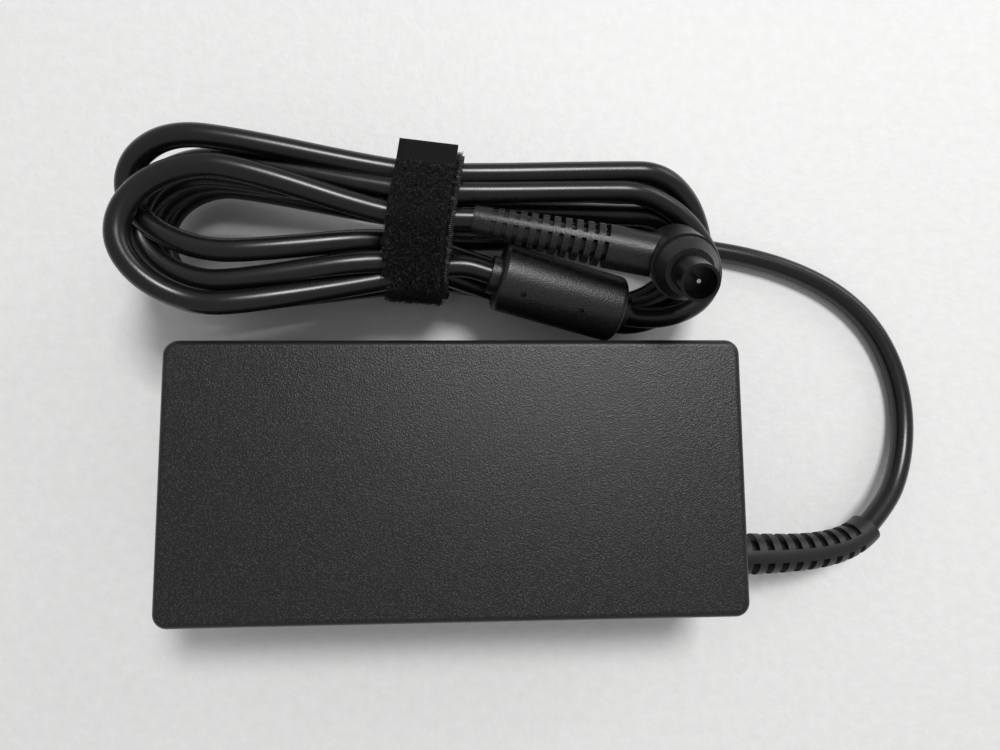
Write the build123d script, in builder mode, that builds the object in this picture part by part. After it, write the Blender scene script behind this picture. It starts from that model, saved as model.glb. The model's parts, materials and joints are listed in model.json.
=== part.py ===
from build123d import *
import os
from math import pi, radians, tan

# A laptop power adapter, in millimetres. Its case stands on Z = 0 with its middle over the origin.
# +X is the output end, +Y is the side where the tied cord lies, +Z is up.

# Case
CASE_LENGTH = 118.0
CASE_WIDTH = 56.4
CASE_HEIGHT = 29.0
CASE_WALL = 2.2
CORNER_RADIUS = 3.0
EDGE_RADIUS = 1.5
PARTING_HEIGHT = 14.5
LIP_HEIGHT = 1.6
LIP_CLEARANCE = 0.12
LABEL_LENGTH = 84.0
LABEL_WIDTH = 40.0
LABEL_CORNER = 2.0
LABEL_THICKNESS = 0.3
LABEL_RECESS = 0.35

# Mains inlet, in the -X end
INLET_OPENING_WIDTH = 24.0
INLET_OPENING_HEIGHT = 16.4
INLET_CHAMFER = 4.6
INLET_DEPTH = 16.5
INLET_WALL = 1.4
INLET_BACK = 2.0
INLET_FLANGE = 1.1
INLET_FLANGE_THICKNESS = 1.6
INLET_CLEARANCE = 0.15
BLADE_WIDTH = 2.0
BLADE_HEIGHT = 4.0
BLADE_SPACING = 14.0
BLADE_ROW_DROP = 2.0
BLADE_RECESS = 2.0
BLADE_TAIL = 4.0

# Circuit board and what stands on it
BOARD_THICKNESS = 1.6
BOARD_GAP = 2.4
BOARD_SIDE_GAP = 0.8
BOARD_INLET_GAP = 5.0
BOARD_CORNER = 1.5
POST_DIAMETER = 5.0
POST_INSET = 4.0
SHEET_THICKNESS = 0.4
SHEET_HOLE_CLEARANCE = 0.3
SPREADER_THICKNESS = 0.6
FUSE_DIAMETER = 8.4
FUSE_HEIGHT = 8.0
X_CAPACITOR = (8.5, 18.0, 14.0)
CHOKE_DIAMETER = 18.0
CHOKE_BORE = 9.0
CHOKE_HEIGHT = 8.0
CHOKE_EDGE = 0.5
CHOKE_GAP = 3.0
WINDING_BUILD = 1.4
BRIDGE = (15.0, 4.0, 11.5)
BULK_DIAMETER = 17.6
BULK_LENGTH = 30.0
HEATSINK_THICKNESS = 2.0
HEATSINK_HEIGHT = 16.5
PRIMARY_HEATSINK_LENGTH = 34.0
SECONDARY_HEATSINK_LENGTH = 26.0
TRANSISTOR = (10.2, 4.4, 15.0)
SCREW_DIAMETER = 3.0
SCREW_HEAD_DIAMETER = 5.6
SCREW_HEAD_HEIGHT = 1.6
SCREW_SLOT = 0.8
SCREW_CLEARANCE = 0.1
SCREW_DROP = 3.6
TRANSFORMER = (26.0, 25.0, 11.0)
TRANSFORMER_LIFT = 3.6
TRANSFORMER_LEG = 5.2
TRANSFORMER_CENTRE_LEG = 8.6
BOBBIN_WALL = 0.8
BOBBIN_CLEARANCE = 0.1
BOBBIN_RAIL = 20.0
Y_CAPACITOR_DIAMETER = 9.0
Y_CAPACITOR_THICKNESS = 4.0
OUTPUT_CAPACITOR_DIAMETER = 8.0
OUTPUT_CAPACITOR_HEIGHT = 15.0
OUTPUT_CHOKE_DIAMETER = 9.0
OUTPUT_CHOKE_HEIGHT = 11.0
CHIP = (6.0, 5.0, 1.8)
OPTOCOUPLER = (4.6, 6.5, 3.6)
CASE_EDGE = 0.4
FUSE_EDGE = 0.6
X_CAPACITOR_EDGE = 0.8
BULK_EDGE = 1.0
Y_CAPACITOR_EDGE = 1.2
CAN_EDGE = 0.8
# Places measured from the board's inlet end, and from its middle line
X_CAPACITOR_PLACE = (4.5, 2.0)
BRIDGE_PLACE = (15.0, -11.0)
CHOKE_PLACE = (24.0, 13.0)
BULK_PLACE = (44.5, 5.0)
Y_CAPACITOR_PLACE = (50.9, -15.2)
# Places measured from the board's inlet end, and from its front edge
FUSE_PLACE = (7.5, 8.2)
PRIMARY_HEATSINK_PLACE = (13.5, 1.8)
TRANSISTOR_PLACE = 20.4
# Places measured back from the board's output end, and from its middle line
TRANSFORMER_PLACE = (23.0, 3.0)
SECONDARY_HEATSINK_PLACE = (8.0, -3.0)
CHIP_PLACE = (34.0, 18.5)
OPTOCOUPLER_PLACE = (25.0, 17.6)
OUTPUT_CAPACITOR_PLACES = [(5.6, -8.2), (15.0, -16.6)]
OUTPUT_CHOKE_PLACE = (26.0, -16.6)
WIRE_DIAMETER = 1.6
WIRE_BEND = 2.0
WIRE_PITCH = 2.4
OUTPUT_WIRE_RUN = 5.2

# Output cord
CORD_DIAMETER = 4.8
BOOT_Y = -18.2
BOOT_NECK_DIAMETER = 8.2
BOOT_FLANGE_DIAMETER = 12.4
BOOT_FLANGE_THICKNESS = 1.8
BOOT_COLLAR_DIAMETER = 10.4
BOOT_COLLAR_THICKNESS = 1.3
BOOT_ROOT_WALL = 2.3
BOOT_TIP_WALL = 1.1
BOOT_CORE_WALL = 0.5
BOOT_CLEARANCE = 0.1
BOOT_SLOT = 1.7
BOOT_SPINE = 2.8
BOOT_SLOT_COUNT = 9
BOOT_FIRST_SLOT = 0.13
BOOT_SLOT_PITCH = 0.088
SLEEVE_STATIONS = (0.0, 0.25, 0.5, 0.75, 1.0)
# The lead's own points: from the boot's tip down to the surface and round to the hank
LEAD_ROUTE = [
    (95.6, -13.6, 9.0),
    (102.2, -8.4, 7.0),
    (107.1, -1.4, 4.9),
    (110.2, 7.4, 3.3),
    (110.9, 17.4, 2.5),
    (108.6, 27.8, 2.4),
    (103.2, 37.4, 2.4),
    (94.9, 44.8, 2.4),
    (84.6, 50.0, 2.4),
    (73.5, 53.3, 2.4),
    (62.5, 55.2, 2.4),
    (52.2, 56.1, 2.4),
]

# Hank, and the hook-and-loop tie round its waist
WAIST_WIDTH = 30.0
WAIST_HEIGHT = 27.0
TIE_WIDTH = 12.7
TIE_THICKNESS = 2.6
TIE_TAIL_LENGTH = 13.0
TIE_TAIL_THICKNESS = 1.4
TIE_TAIL_TILT = 13.0
TIE_TAIL_SIDE = 10.0
TIE_TURN = -7.0
TIE_X = -8.3
HANK_STANDOFF = 26.0
SOFT_GAP = 0.3
# Outer shape of the hank, outwards from its waist: X, sideways shift, half width, half height
LEFT_LOOPS = [
    (-28.0, -1.8, 17.5, 17.4),
    (-44.0, -1.8, 19.2, 19.2),
    (-60.0, -1.6, 18.6, 19.2),
    (-69.0, -1.6, 15.0, 16.0),
    (-73.4, -1.8, 8.0, 9.0),
]
RIGHT_LOOPS = [
    (12.0, 0.5, 16.5, 14.4),
    (28.0, -1.5, 18.0, 14.0),
    (44.0, -2.0, 18.6, 13.2),
    (55.0, -2.5, 15.5, 11.2),
    (61.5, -4.0, 10.0, 7.0),
]

# Ferrite on the cord
FERRITE_DIAMETER = 15.0
FERRITE_LENGTH = 28.4
FERRITE_EDGE = 1.3
FERRITE_TOP = 25.3
FERRITE_CENTRE = (22.5, -13.9, FERRITE_TOP - FERRITE_DIAMETER / 2)
FERRITE_TURN = -14.0
FERRITE_DROP = 8.0
FERRITE_WALL = 1.1
FERRITE_END_WALL = 2.2
FERRITE_SLEEVE_WALL = 0.7
FERRITE_COLLAR_WALL = 1.8
FERRITE_COLLAR_LENGTH = 1.8
FERRITE_HOLE_DIAMETER = 1.3
FERRITE_HOLE_DEPTH = 0.8
FERRITE_HOLE_PLACES = (5.5, 18.6)
FERRITE_HOLE_TURN = 32.0

# Right-angle plug
PLUG_TIP_WALL = 0.6
PLUG_CORE_WALL = 0.4
PLUG_BODY_DIAMETER = 9.2
PLUG_BOOT_LENGTH = 28.5
PLUG_LENGTH = 44.4
PLUG_HEAD_DIAMETER = 13.8
PLUG_HEAD_BELOW = 7.0
PLUG_HEAD_ABOVE = 6.4
PLUG_GROOVE_WIDTH = 0.6
PLUG_GROOVE_DEPTH = 0.5
PLUG_CAP_HEIGHT = 1.2
PLUG_SHOULDER_DIAMETER = 9.6
PLUG_SHOULDER_HEIGHT = 2.8
PLUG_LEAN = 28.0
PLUG_CORNER = (47.0, -8.9, 27.4)
PLUG_TURN = -11.3
PLUG_EDGE = 1.6
PLUG_SLOT = 1.0
PLUG_SPINE = 1.2
PLUG_SLOT_COUNT = 11
PLUG_SLOTLESS = 2.5
BARREL_DIAMETER = 7.4
BARREL_WALL = 0.6
BARREL_LENGTH = 8.5
BARREL_ROOT = 2.6
BARREL_ROOT_DIAMETER = 6.8
INSULATOR_DEPTH = 6.0
CENTRE_PIN_DIAMETER = 0.8
CENTRE_PIN_RECESS = 1.4

os.makedirs("parts", exist_ok=True)

CASE_BACK = CASE_WIDTH / 2
CASE_END = CASE_LENGTH / 2
INNER_LENGTH = CASE_LENGTH - 2 * CASE_WALL
INNER_WIDTH = CASE_WIDTH - 2 * CASE_WALL
CASE_TOP_INSIDE = CASE_HEIGHT - CASE_WALL
INNER_CORNER = max(CORNER_RADIUS - CASE_WALL, 0.4)
LIP_CORNER = max(CORNER_RADIUS - CASE_WALL / 2, 0.5)
INLET_OUTER = (INLET_OPENING_WIDTH + 2 * INLET_WALL, INLET_OPENING_HEIGHT + 2 * INLET_WALL)
HANK_Y = CASE_BACK + HANK_STANDOFF


def save(piece, name):
    piece.label = name
    export_step(piece, f"parts/{name}.step")


def block(low, size, edge=0.0):
    """A box from its low corner, its upright edges rounded."""
    with BuildPart() as solid:
        with BuildSketch(Plane.XY.offset(low[2])):
            with Locations((low[0] + size[0] / 2, low[1] + size[1] / 2)):
                Rectangle(size[0], size[1])
        extrude(amount=size[2])
        if edge:
            fillet(solid.edges().filter_by(Axis.Z), edge)
    return solid.part


def can(x, y, low, diameter, height, edge=0.0):
    """An upright cylinder, its top edge rounded."""
    with BuildPart() as solid:
        with BuildSketch(Plane.XY.offset(low)):
            with Locations((x, y)):
                Circle(diameter / 2)
        extrude(amount=height)
        if edge:
            fillet(solid.edges().group_by(Axis.Z)[-1], edge)
    return solid.part


def wire(points, bend):
    """A round wire along straight runs joined by arcs."""
    with BuildPart() as solid:
        with BuildLine() as route:
            FilletPolyline(*points, radius=bend)
        with BuildSketch(Plane(origin=route.line @ 0, z_dir=route.line % 0)):
            Circle(WIRE_DIAMETER / 2)
        sweep()
    return solid.part


def section_plane(path, t):
    """The plane across a path at t, with its second axis as upright as the path allows."""
    heading = path % t
    return Plane(origin=path @ t, x_dir=Vector(0, 0, 1).cross(heading), z_dir=heading)


def slotted_sleeve(path, root, tip, core, slot, spine, stations):
    """A tapered sleeve along a path, slotted on both sides of a spine so that it bends."""
    with BuildPart() as sleeve:
        for t in SLEEVE_STATIONS:
            with BuildSketch(section_plane(path, t)):
                Circle((root + (tip - root) * t) / 2)
        loft()
        for t in stations:
            with BuildSketch(section_plane(path, t)):
                Circle(root)
                Circle(core / 2, mode=Mode.SUBTRACT)
                Rectangle(spine, 3 * root, mode=Mode.SUBTRACT)
            extrude(amount=slot, mode=Mode.SUBTRACT)
    return sleeve.part


# Case: two shells that meet at the parting line, the upper one's lip inside the lower one's rebate
inlet_plane = Plane.YZ.offset(-CASE_END)
boot_hole_plane = Plane.YZ.offset(CASE_END - 2 * CASE_WALL)
board_bottom = CASE_WALL + SHEET_THICKNESS + BOARD_GAP
board_top = board_bottom + BOARD_THICKNESS
board_left = -CASE_END + INLET_DEPTH + INLET_BACK + BOARD_INLET_GAP
board_right = CASE_END - CASE_WALL - BOARD_SIDE_GAP
board_length = board_right - board_left
board_width = INNER_WIDTH - 2 * BOARD_SIDE_GAP
board_middle = (board_left + board_right) / 2
board_front = -board_width / 2
post_spots = [
    (board_middle + side * (board_length / 2 - POST_INSET), end * (board_width / 2 - POST_INSET))
    for side in (-1, 1)
    for end in (-1, 1)
]

# The two end openings, cut from both shells
with BuildPart() as end_openings:
    with BuildSketch(inlet_plane):
        with Locations((0, PARTING_HEIGHT)):
            Rectangle(INLET_OUTER[0] + 2 * INLET_CLEARANCE, INLET_OUTER[1] + 2 * INLET_CLEARANCE)
    extrude(amount=CASE_WALL)
    with BuildSketch(boot_hole_plane):
        with Locations((BOOT_Y, PARTING_HEIGHT)):
            Circle(BOOT_NECK_DIAMETER / 2 + BOOT_CLEARANCE)
    extrude(amount=3 * CASE_WALL)

with BuildPart() as bottom_shell:
    with BuildSketch():
        RectangleRounded(CASE_LENGTH, CASE_WIDTH, CORNER_RADIUS)
    extrude(amount=PARTING_HEIGHT)
    fillet(bottom_shell.edges().group_by(Axis.Z)[0], EDGE_RADIUS)
    with BuildSketch(Plane.XY.offset(CASE_WALL)):
        RectangleRounded(INNER_LENGTH, INNER_WIDTH, INNER_CORNER)
    extrude(amount=PARTING_HEIGHT, mode=Mode.SUBTRACT)
    with BuildSketch(Plane.XY.offset(PARTING_HEIGHT - LIP_HEIGHT)):
        RectangleRounded(CASE_LENGTH - CASE_WALL, CASE_WIDTH - CASE_WALL, LIP_CORNER)
    extrude(amount=LIP_HEIGHT, mode=Mode.SUBTRACT)
    with BuildSketch(Plane.XY.offset(CASE_WALL)):
        with Locations(*post_spots):
            Circle(POST_DIAMETER / 2)
    extrude(amount=board_bottom - CASE_WALL)
    add(end_openings.part, mode=Mode.SUBTRACT)
    with BuildSketch():
        RectangleRounded(LABEL_LENGTH, LABEL_WIDTH, LABEL_CORNER)
    extrude(amount=LABEL_RECESS, mode=Mode.SUBTRACT)

with BuildPart() as top_shell:
    with BuildSketch(Plane.XY.offset(PARTING_HEIGHT)):
        RectangleRounded(CASE_LENGTH, CASE_WIDTH, CORNER_RADIUS)
    extrude(amount=CASE_HEIGHT - PARTING_HEIGHT)
    fillet(top_shell.edges().group_by(Axis.Z)[-1], EDGE_RADIUS)
    with BuildSketch(Plane.XY.offset(PARTING_HEIGHT - LIP_HEIGHT + LIP_CLEARANCE)):
        RectangleRounded(
            CASE_LENGTH - CASE_WALL - 2 * LIP_CLEARANCE,
            CASE_WIDTH - CASE_WALL - 2 * LIP_CLEARANCE,
            LIP_CORNER - LIP_CLEARANCE,
        )
    extrude(amount=LIP_HEIGHT - LIP_CLEARANCE)
    with BuildSketch(Plane.XY.offset(PARTING_HEIGHT - LIP_HEIGHT)):
        RectangleRounded(INNER_LENGTH, INNER_WIDTH, INNER_CORNER)
    extrude(amount=CASE_TOP_INSIDE - PARTING_HEIGHT + LIP_HEIGHT, mode=Mode.SUBTRACT)
    add(end_openings.part, mode=Mode.SUBTRACT)

with BuildPart() as rating_label:
    with BuildSketch(Plane.XY.offset(LABEL_RECESS - LABEL_THICKNESS)):
        RectangleRounded(LABEL_LENGTH, LABEL_WIDTH, LABEL_CORNER)
    extrude(amount=LABEL_THICKNESS)

save(bottom_shell.part, "bottom_shell")
save(top_shell.part, "top_shell")
save(rating_label.part, "rating_label")

# Mains inlet: a moulded socket with three blades in it, clamped between the shells by its flange
blade_low = PARTING_HEIGHT - BLADE_ROW_DROP - BLADE_HEIGHT / 2
earth_low = PARTING_HEIGHT + BLADE_ROW_DROP - BLADE_HEIGHT / 2
blade_spots = {
    "live_blade": (-BLADE_SPACING / 2, blade_low),
    "neutral_blade": (BLADE_SPACING / 2, blade_low),
    "earth_blade": (0.0, earth_low),
}

with BuildPart() as inlet_housing:
    with BuildSketch(inlet_plane):
        with Locations((0, PARTING_HEIGHT)):
            Rectangle(*INLET_OUTER)
    extrude(amount=INLET_DEPTH + INLET_BACK)
    with BuildSketch(Plane.YZ.offset(-CASE_END + CASE_WALL + INLET_CLEARANCE)):
        with Locations((0, PARTING_HEIGHT)):
            Rectangle(INLET_OUTER[0] + 2 * INLET_FLANGE, INLET_OUTER[1] + 2 * INLET_FLANGE)
    extrude(amount=INLET_FLANGE_THICKNESS)
    with BuildSketch(inlet_plane) as opening:
        with Locations((0, PARTING_HEIGHT)):
            Rectangle(INLET_OPENING_WIDTH, INLET_OPENING_HEIGHT)
        chamfer(opening.vertices().group_by(Axis.Y)[-1], INLET_CHAMFER)
    extrude(amount=INLET_DEPTH, mode=Mode.SUBTRACT)
    with BuildSketch(Plane.YZ.offset(-CASE_END + INLET_DEPTH)):
        for y, low in blade_spots.values():
            with Locations((y, low + BLADE_HEIGHT / 2)):
                Rectangle(BLADE_WIDTH, BLADE_HEIGHT)
    extrude(amount=INLET_BACK, mode=Mode.SUBTRACT)
save(inlet_housing.part, "inlet_housing")

for blade_name, (y, low) in blade_spots.items():
    blade_size = (INLET_DEPTH + INLET_BACK + BLADE_TAIL - BLADE_RECESS, BLADE_WIDTH, BLADE_HEIGHT)
    save(block((-CASE_END + BLADE_RECESS, y - BLADE_WIDTH / 2, low), blade_size), blade_name)

# Board, its insulating sheet and the heat spreader under the lid
with BuildPart() as circuit_board:
    with BuildSketch(Plane.XY.offset(board_bottom)):
        with Locations((board_middle, 0)):
            Rectangle(board_length, board_width)
    extrude(amount=BOARD_THICKNESS)
    fillet(circuit_board.edges().filter_by(Axis.Z), BOARD_CORNER)
save(circuit_board.part, "circuit_board")

with BuildPart() as insulating_sheet:
    with BuildSketch(Plane.XY.offset(CASE_WALL)):
        with Locations((board_middle, 0)):
            Rectangle(board_length, board_width)
        with Locations(*post_spots):
            Circle(POST_DIAMETER / 2 + SHEET_HOLE_CLEARANCE, mode=Mode.SUBTRACT)
    extrude(amount=SHEET_THICKNESS)
save(insulating_sheet.part, "insulating_sheet")

with BuildPart() as heat_spreader:
    with BuildSketch(Plane.XY.offset(CASE_TOP_INSIDE - SPREADER_THICKNESS)):
        with Locations((board_middle, 0)):
            RectangleRounded(board_length, board_width, BOARD_CORNER)
    extrude(amount=SPREADER_THICKNESS)
save(heat_spreader.part, "heat_spreader")

# Primary side, placed from the board's inlet end
fuse_x = board_left + FUSE_PLACE[0]
fuse_y = board_front + FUSE_PLACE[1]
save(can(fuse_x, fuse_y, board_top, FUSE_DIAMETER, FUSE_HEIGHT, FUSE_EDGE), "fuse")
x_capacitor_low = (board_left + X_CAPACITOR_PLACE[0], X_CAPACITOR_PLACE[1], board_top)
save(block(x_capacitor_low, X_CAPACITOR, X_CAPACITOR_EDGE), "x_capacitor")
bridge_low = (board_left + BRIDGE_PLACE[0], BRIDGE_PLACE[1], board_top)
save(block(bridge_low, BRIDGE, CASE_EDGE), "bridge_rectifier")

choke_spot = (board_left + CHOKE_PLACE[0], CHOKE_PLACE[1])
with BuildPart() as choke_core:
    with BuildSketch(Plane.XY.offset(board_top + WINDING_BUILD)):
        with Locations(choke_spot):
            Circle(CHOKE_DIAMETER / 2)
            Circle(CHOKE_BORE / 2, mode=Mode.SUBTRACT)
    extrude(amount=CHOKE_HEIGHT)
    fillet(choke_core.edges(), CHOKE_EDGE)
save(choke_core.part, "choke_core")

with BuildPart() as choke_windings:
    with BuildSketch(Plane.XY.offset(board_top)):
        with Locations(choke_spot):
            Circle(CHOKE_DIAMETER / 2 + WINDING_BUILD)
            Circle(CHOKE_BORE / 2 - WINDING_BUILD, mode=Mode.SUBTRACT)
            Rectangle(CHOKE_GAP, 2 * CHOKE_DIAMETER, mode=Mode.SUBTRACT)
    extrude(amount=CHOKE_HEIGHT + 2 * WINDING_BUILD)
    add(choke_core.part, mode=Mode.SUBTRACT)
save(choke_windings.part, "choke_windings")

bulk_x = board_left + BULK_PLACE[0]
with BuildPart() as bulk_capacitor:
    with BuildSketch(Plane.XZ.offset(-BULK_LENGTH / 2 - BULK_PLACE[1])):
        with Locations((bulk_x, board_top + BULK_DIAMETER / 2)):
            Circle(BULK_DIAMETER / 2)
    extrude(amount=BULK_LENGTH)
    fillet(bulk_capacitor.edges().filter_by(GeomType.CIRCLE), BULK_EDGE)
save(bulk_capacitor.part, "bulk_capacitor")

with BuildPart() as y_capacitor:
    with BuildSketch(Plane.YZ.offset(board_left + Y_CAPACITOR_PLACE[0])):
        with Locations((Y_CAPACITOR_PLACE[1], board_top + Y_CAPACITOR_DIAMETER / 2)):
            Circle(Y_CAPACITOR_DIAMETER / 2)
    extrude(amount=Y_CAPACITOR_THICKNESS)
    fillet(y_capacitor.edges().filter_by(GeomType.CIRCLE), Y_CAPACITOR_EDGE)
save(y_capacitor.part, "y_capacitor")


def bored_block(low, size, plane):
    """A plate or a device with a screw hole through it, square to plane at its origin."""
    with BuildPart() as solid:
        add(block(low, size))
        with BuildSketch(plane):
            Circle(SCREW_DIAMETER / 2 + SCREW_CLEARANCE)
        extrude(amount=-2 * (TRANSISTOR[1] + HEATSINK_THICKNESS), mode=Mode.SUBTRACT)
    return solid.part


def screw(plane):
    """A slotted pan-head screw, plane being the one under its head."""
    with BuildPart() as solid:
        with BuildSketch(plane):
            Circle(SCREW_DIAMETER / 2)
        extrude(amount=-TRANSISTOR[1] - HEATSINK_THICKNESS)
        with BuildSketch(plane):
            Circle(SCREW_HEAD_DIAMETER / 2)
        extrude(amount=SCREW_HEAD_HEIGHT)
        with BuildSketch(plane.offset(SCREW_HEAD_HEIGHT)):
            Rectangle(SCREW_HEAD_DIAMETER, SCREW_SLOT)
        extrude(amount=-SCREW_HEAD_HEIGHT / 2, mode=Mode.SUBTRACT)
    return solid.part


screw_height = board_top + TRANSISTOR[2] - SCREW_DROP
primary_low = (
    board_left + PRIMARY_HEATSINK_PLACE[0],
    board_front + PRIMARY_HEATSINK_PLACE[1],
    board_top,
)
primary_face = primary_low[1] + HEATSINK_THICKNESS
primary_x = primary_low[0] + TRANSISTOR_PLACE
primary_plane = Plane(
    origin=(primary_x, primary_face + TRANSISTOR[1], screw_height), x_dir=(1, 0, 0), z_dir=(0, 1, 0)
)
primary_size = (PRIMARY_HEATSINK_LENGTH, HEATSINK_THICKNESS, HEATSINK_HEIGHT)
save(bored_block(primary_low, primary_size, primary_plane), "primary_heatsink")
transistor_low = (primary_x - TRANSISTOR[0] / 2, primary_face, board_top)
save(bored_block(transistor_low, TRANSISTOR, primary_plane), "primary_transistor")

# Transformer, and the secondary side placed from the board's output end
core_x = board_right - TRANSFORMER_PLACE[0]
core_y = TRANSFORMER_PLACE[1]
core_low = board_top + TRANSFORMER_LIFT
window = (TRANSFORMER[0] - 2 * TRANSFORMER_LEG - TRANSFORMER_CENTRE_LEG) / 2
window_length = TRANSFORMER[1] - 2 * TRANSFORMER_LEG
core_corner = (core_x - TRANSFORMER[0] / 2, core_y - TRANSFORMER[1] / 2, core_low)

with BuildPart() as transformer_core:
    add(block(core_corner, TRANSFORMER))
    with BuildSketch(Plane.XY.offset(core_low)):
        for side in (-1, 1):
            with Locations((core_x + side * (TRANSFORMER_CENTRE_LEG + window) / 2, core_y)):
                Rectangle(window, window_length)
    extrude(amount=TRANSFORMER[2], mode=Mode.SUBTRACT)
save(transformer_core.part, "transformer_core")

tube_plane = Plane.XZ.offset(-core_y - window_length / 2)
tube_width = TRANSFORMER_CENTRE_LEG + 2 * BOBBIN_CLEARANCE
tube_height = TRANSFORMER[2] + 2 * BOBBIN_CLEARANCE
with BuildPart() as transformer_bobbin:
    with BuildSketch(tube_plane):
        with Locations((core_x, core_low + TRANSFORMER[2] / 2)):
            Rectangle(tube_width + 2 * BOBBIN_WALL, tube_height + 2 * BOBBIN_WALL)
            Rectangle(tube_width, tube_height, mode=Mode.SUBTRACT)
    extrude(amount=window_length)
    for side in (-1, 1):
        with BuildSketch(Plane.XY.offset(board_top)):
            with Locations((core_x, core_y + side * (TRANSFORMER[1] - TRANSFORMER_LEG) / 2)):
                Rectangle(BOBBIN_RAIL, TRANSFORMER_LEG)
        extrude(amount=TRANSFORMER_LIFT - BOBBIN_CLEARANCE)
save(transformer_bobbin.part, "transformer_bobbin")

winding = 2 * (window - BOBBIN_CLEARANCE)
with BuildPart() as transformer_winding:
    with BuildSketch(tube_plane):
        with Locations((core_x, core_low + TRANSFORMER[2] / 2)):
            RectangleRounded(TRANSFORMER_CENTRE_LEG + winding, TRANSFORMER[2] + winding, BOBBIN_WALL)
            Rectangle(tube_width + 2 * BOBBIN_WALL, tube_height + 2 * BOBBIN_WALL, mode=Mode.SUBTRACT)
    extrude(amount=window_length)
save(transformer_winding.part, "transformer_winding")

secondary_low = (
    board_right - SECONDARY_HEATSINK_PLACE[0],
    SECONDARY_HEATSINK_PLACE[1],
    board_top,
)
secondary_face = secondary_low[0] + HEATSINK_THICKNESS
secondary_y = secondary_low[1] + SECONDARY_HEATSINK_LENGTH / 2
secondary_plane = Plane(
    origin=(secondary_face + TRANSISTOR[1], secondary_y, screw_height), x_dir=(0, 1, 0), z_dir=(1, 0, 0)
)
secondary_size = (HEATSINK_THICKNESS, SECONDARY_HEATSINK_LENGTH, HEATSINK_HEIGHT)
save(bored_block(secondary_low, secondary_size, secondary_plane), "secondary_heatsink")
rectifier_low = (secondary_face, secondary_y - TRANSISTOR[0] / 2, board_top)
rectifier_size = (TRANSISTOR[1], TRANSISTOR[0], TRANSISTOR[2])
save(bored_block(rectifier_low, rectifier_size, secondary_plane), "output_rectifier")
save(Compound(children=[screw(primary_plane), screw(secondary_plane)]), "heatsink_screws")

output_capacitors = [
    can(board_right - x, y, board_top, OUTPUT_CAPACITOR_DIAMETER, OUTPUT_CAPACITOR_HEIGHT, CAN_EDGE)
    for x, y in OUTPUT_CAPACITOR_PLACES
]
save(Compound(children=output_capacitors), "output_capacitors")
choke_x = board_right - OUTPUT_CHOKE_PLACE[0]
output_choke = can(
    choke_x, OUTPUT_CHOKE_PLACE[1], board_top, OUTPUT_CHOKE_DIAMETER, OUTPUT_CHOKE_HEIGHT, CAN_EDGE
)
save(output_choke, "output_choke")
chip_low = (board_right - CHIP_PLACE[0], CHIP_PLACE[1], board_top)
save(block(chip_low, CHIP), "controller_chip")
optocoupler_low = (board_right - OPTOCOUPLER_PLACE[0], OPTOCOUPLER_PLACE[1], board_top)
save(block(optocoupler_low, OPTOCOUPLER), "optocoupler")

# Wires from the blades to the board, and from the board to the output cord
tail_x = -CASE_END + INLET_DEPTH + INLET_BACK + BLADE_TAIL
for wire_name, (y, low) in blade_spots.items():
    height = low + BLADE_HEIGHT / 2
    landing = tail_x + BOARD_INLET_GAP - WIRE_DIAMETER
    route_points = [(tail_x, y, height), (landing, y, height), (landing, y, board_top)]
    save(wire(route_points, WIRE_BEND), wire_name.replace("blade", "wire"))

boot_flange_x = CASE_END - CASE_WALL - BOOT_CLEARANCE - BOOT_FLANGE_THICKNESS
output_wires = []
for side in (-1, 1):
    y = BOOT_Y + side * WIRE_PITCH / 2
    start_x = boot_flange_x - OUTPUT_WIRE_RUN
    wire_points = [
        (start_x, y, board_top),
        (start_x, y, PARTING_HEIGHT),
        (boot_flange_x, y, PARTING_HEIGHT),
    ]
    output_wires.append(wire(wire_points, WIRE_BEND))
save(Compound(children=output_wires), "output_wires")

# Strain relief: a flange behind the end wall, a neck through it and a slotted sleeve that bends
lead_heading = Vector(*LEAD_ROUTE[1]) - Vector(*LEAD_ROUTE[0])
boot_face = CASE_END + BOOT_CLEARANCE
with BuildLine() as boot_path:
    Spline((boot_face, BOOT_Y, PARTING_HEIGHT), LEAD_ROUTE[0], tangents=[(1, 0, 0), lead_heading])

with BuildPart() as dc_boot:
    add(
        slotted_sleeve(
            boot_path.line,
            CORD_DIAMETER + 2 * BOOT_ROOT_WALL,
            CORD_DIAMETER + 2 * BOOT_TIP_WALL,
            CORD_DIAMETER + 2 * BOOT_CORE_WALL,
            BOOT_SLOT,
            BOOT_SPINE,
            [BOOT_FIRST_SLOT + BOOT_SLOT_PITCH * n for n in range(BOOT_SLOT_COUNT)],
        )
    )
    with BuildSketch(Plane.YZ.offset(boot_flange_x)):
        with Locations((BOOT_Y, PARTING_HEIGHT)):
            Circle(BOOT_FLANGE_DIAMETER / 2)
    extrude(amount=BOOT_FLANGE_THICKNESS)
    with BuildSketch(Plane.YZ.offset(boot_flange_x)):
        with Locations((BOOT_Y, PARTING_HEIGHT)):
            Circle(BOOT_NECK_DIAMETER / 2)
    extrude(amount=boot_face - boot_flange_x)
    with BuildSketch(Plane.YZ.offset(boot_face)):
        with Locations((BOOT_Y, PARTING_HEIGHT)):
            Circle(BOOT_COLLAR_DIAMETER / 2)
    extrude(amount=BOOT_COLLAR_THICKNESS)
save(dc_boot.part, "dc_boot")


# Lead: straight runs joined by tangent arcs, each as large as its two runs allow
def corner_radius(before, corner, after):
    first = Vector(*corner) - Vector(*before)
    second = Vector(*after) - Vector(*corner)
    half_turn = radians(first.get_angle(second)) / 2
    return 0.45 * min(first.length, second.length) / tan(half_turn)


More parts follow.
